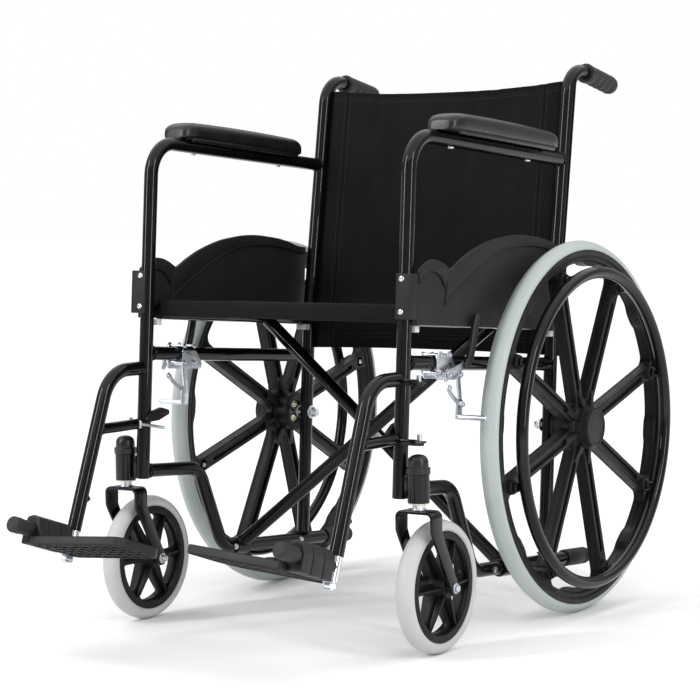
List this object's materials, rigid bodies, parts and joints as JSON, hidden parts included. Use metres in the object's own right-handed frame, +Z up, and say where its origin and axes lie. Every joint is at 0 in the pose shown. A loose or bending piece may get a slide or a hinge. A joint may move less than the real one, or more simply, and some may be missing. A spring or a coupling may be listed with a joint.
{
  "type": "manual wheelchair",
  "caption": "Folding manual wheelchair with cloth seat and back, arm pads, large self-propelling wheels with handrims, swivel casters, swing-away legrests and push-to-lock brakes.",
  "frame": {"origin": "centre of the footprint's bounding box, on the floor", "axes": "+Z up, -Y the way the chair faces, +X the sitter's left"},
  "size_m": [0.69, 1.0796, 0.9061],
  "materials": {
    "frame_paint": "gloss black enamel",
    "black_nylon": "moulded nylon, fine grain",
    "soft_black": "satin soft polyurethane",
    "cloth": "woven nylon, matte",
    "grey_tyre": "pale grey solid polyurethane",
    "pale_tyre": "off-white solid polyurethane",
    "zinc": "bright zinc plate"
  },
  "bodies": {
    "right_frame": {"right_arm_tube": "frame_paint", "right_back_post": "frame_paint", "right_side_rail": "frame_paint", "right_lower_rail": "frame_paint", "right_armrest_pad": "soft_black", "right_skirt_guard": "black_nylon", "right_guard_bracket": "black_nylon", "right_push_grip": "soft_black", "right_tip_cap": "soft_black", "right_caster_housing": "frame_paint", "right_caster_cap": "soft_black", "right_rear_axle": "zinc", "right_brake_clamp": "zinc", "back_sling": "cloth"},
    "right_fork": {"right_caster_fork": "frame_paint", "right_caster_stem": "zinc", "right_caster_axle": "zinc"},
    "right_caster": {"right_caster_wheel": "black_nylon", "right_caster_tyre": "pale_tyre"},
    "right_wheel": {"right_rear_wheel": "black_nylon", "right_rear_tyre": "grey_tyre", "right_handrim": "frame_paint"},
    "right_legrest": {"right_hanger": "frame_paint"},
    "right_plate": {"right_footplate": "black_nylon"},
    "right_latch": {"right_latch_lever": "zinc"},
    "right_brake": {"right_brake_lever": "zinc"},
    "right_shoe": {"right_brake_shoe": "zinc"},
    "left_frame": {"left_arm_tube": "frame_paint", "left_back_post": "frame_paint", "left_side_rail": "frame_paint", "left_lower_rail": "frame_paint", "left_armrest_pad": "soft_black", "left_skirt_guard": "black_nylon", "left_guard_bracket": "black_nylon", "left_push_grip": "soft_black", "left_tip_cap": "soft_black", "left_caster_housing": "frame_paint", "left_caster_cap": "soft_black", "left_rear_axle": "zinc", "left_brake_clamp": "zinc"},
    "left_fork": {"left_caster_fork": "frame_paint", "left_caster_stem": "zinc", "left_caster_axle": "zinc"},
    "left_caster": {"left_caster_wheel": "black_nylon", "left_caster_tyre": "pale_tyre"},
    "left_wheel": {"left_rear_wheel": "black_nylon", "left_rear_tyre": "grey_tyre", "left_handrim": "frame_paint"},
    "left_legrest": {"left_hanger": "frame_paint"},
    "left_plate": {"left_footplate": "black_nylon"},
    "left_latch": {"left_latch_lever": "zinc"},
    "left_brake": {"left_brake_lever": "zinc"},
    "left_shoe": {"left_brake_shoe": "zinc"},
    "brace_a": {"cross_tube_a": "frame_paint", "seat_rail_left": "frame_paint", "cross_bolt": "zinc"},
    "brace_b": {"cross_tube_b": "frame_paint", "seat_rail_right": "frame_paint"},
    "seat": {"seat_sling": "cloth"}
  },
  "joints": [
    {"name": "fold", "type": "hinge", "parent": "right_frame", "child": "brace_a", "pos_m": [-0.244, 0.05538, 0.09176], "axis": [0, -0.9974, 0.0715], "range_deg": [0, 41], "deforming": ["seat_sling", "back_sling"]},
    {"name": "cross_centre", "type": "hinge", "parent": "brace_a", "child": "brace_b", "pos_m": [0, 0.06939, 0.28726], "axis": [0, -0.9974, 0.0715], "range_deg": [-82, 0]},
    {"name": "left_rail_pivot", "type": "hinge", "parent": "brace_b", "child": "left_frame", "pos_m": [0.244, 0.05538, 0.09176], "axis": [0, -0.9974, 0.0715], "range_deg": [0, 41]},
    {"name": "seat_level", "type": "hinge", "parent": "brace_a", "child": "seat", "pos_m": [0.244, 0.0834, 0.48276], "axis": [0, -0.9974, 0.0715], "range_deg": [-41, 0]},
    {"name": "right_caster_swivel", "type": "hinge", "parent": "right_frame", "child": "right_fork", "pos_m": [-0.2778, -0.2282, 0.24], "axis": [0, 0, 1], "continuous": true},
    {"name": "right_caster_spin", "type": "hinge", "parent": "right_fork", "child": "right_caster", "pos_m": [-0.2778, -0.1782, 0.1009], "axis": [1, 0, 0], "continuous": true},
    {"name": "right_wheel_spin", "type": "hinge", "parent": "right_frame", "child": "right_wheel", "pos_m": [-0.3, 0.2353, 0.305], "axis": [1, 0, 0], "continuous": true},
    {"name": "right_legrest_swing", "type": "hinge", "parent": "right_frame", "child": "right_legrest", "pos_m": [-0.274, -0.2182, 0.36], "axis": [0, 0, -1], "range_deg": [0, 90]},
    {"name": "right_latch_release", "type": "hinge", "parent": "right_legrest", "child": "right_latch", "pos_m": [-0.2275, -0.2512, 0.326], "axis": [0, 0, -1], "range_deg": [0, 18], "stiffness_Nm_per_rad": 0.05},
    {"name": "right_plate_flip", "type": "hinge", "parent": "right_legrest", "child": "right_plate", "pos_m": [-0.244, -0.5212, 0.1985], "axis": [0, -0.9511, 0.309], "range_deg": [0, 82]},
    {"name": "right_brake_throw", "type": "hinge", "parent": "right_frame", "child": "right_brake", "pos_m": [-0.2705, -0.13046, 0.41538], "axis": [1, 0, 0], "range_deg": [0, 50]},
    {"name": "right_shoe_press", "type": "hinge", "parent": "right_frame", "child": "right_shoe", "pos_m": [-0.2645, -0.08907, 0.41231], "axis": [1, 0, 0], "range_deg": [0, 17.75]},
    {"name": "left_caster_swivel", "type": "hinge", "parent": "left_frame", "child": "left_fork", "pos_m": [0.2778, -0.2282, 0.24], "axis": [0, 0, 1], "continuous": true},
    {"name": "left_caster_spin", "type": "hinge", "parent": "left_fork", "child": "left_caster", "pos_m": [0.2778, -0.1782, 0.1009], "axis": [1, 0, 0], "continuous": true},
    {"name": "left_wheel_spin", "type": "hinge", "parent": "left_frame", "child": "left_wheel", "pos_m": [0.3, 0.2353, 0.305], "axis": [1, 0, 0], "continuous": true},
    {"name": "left_legrest_swing", "type": "hinge", "parent": "left_frame", "child": "left_legrest", "pos_m": [0.274, -0.2182, 0.36], "axis": [0, 0, 1], "range_deg": [0, 90]},
    {"name": "left_latch_release", "type": "hinge", "parent": "left_legrest", "child": "left_latch", "pos_m": [0.2275, -0.2512, 0.326], "axis": [0, 0, 1], "range_deg": [0, 18], "stiffness_Nm_per_rad": 0.05},
    {"name": "left_plate_flip", "type": "hinge", "parent": "left_legrest", "child": "left_plate", "pos_m": [0.244, -0.5212, 0.1985], "axis": [0, 0.9511, -0.309], "range_deg": [0, 82]},
    {"name": "left_brake_throw", "type": "hinge", "parent": "left_frame", "child": "left_brake", "pos_m": [0.2705, -0.13046, 0.41538], "axis": [1, 0, 0], "range_deg": [0, 50]},
    {"name": "left_shoe_press", "type": "hinge", "parent": "left_frame", "child": "left_shoe", "pos_m": [0.2645, -0.08907, 0.41231], "axis": [1, 0, 0], "range_deg": [0, 17.75]}
  ],
  "couplings": [
    {"joint": "cross_centre", "follows": "fold", "ratio": -2},
    {"joint": "left_rail_pivot", "follows": "fold", "ratio": 1},
    {"joint": "seat_level", "follows": "fold", "ratio": -1},
    {"joint": "right_plate_flip", "follows": "fold", "ratio": 2},
    {"joint": "right_shoe_press", "follows": "right_brake_throw", "ratio": 0.355},
    {"joint": "left_plate_flip", "follows": "fold", "ratio": 2},
    {"joint": "left_shoe_press", "follows": "left_brake_throw", "ratio": 0.355}
  ]
}
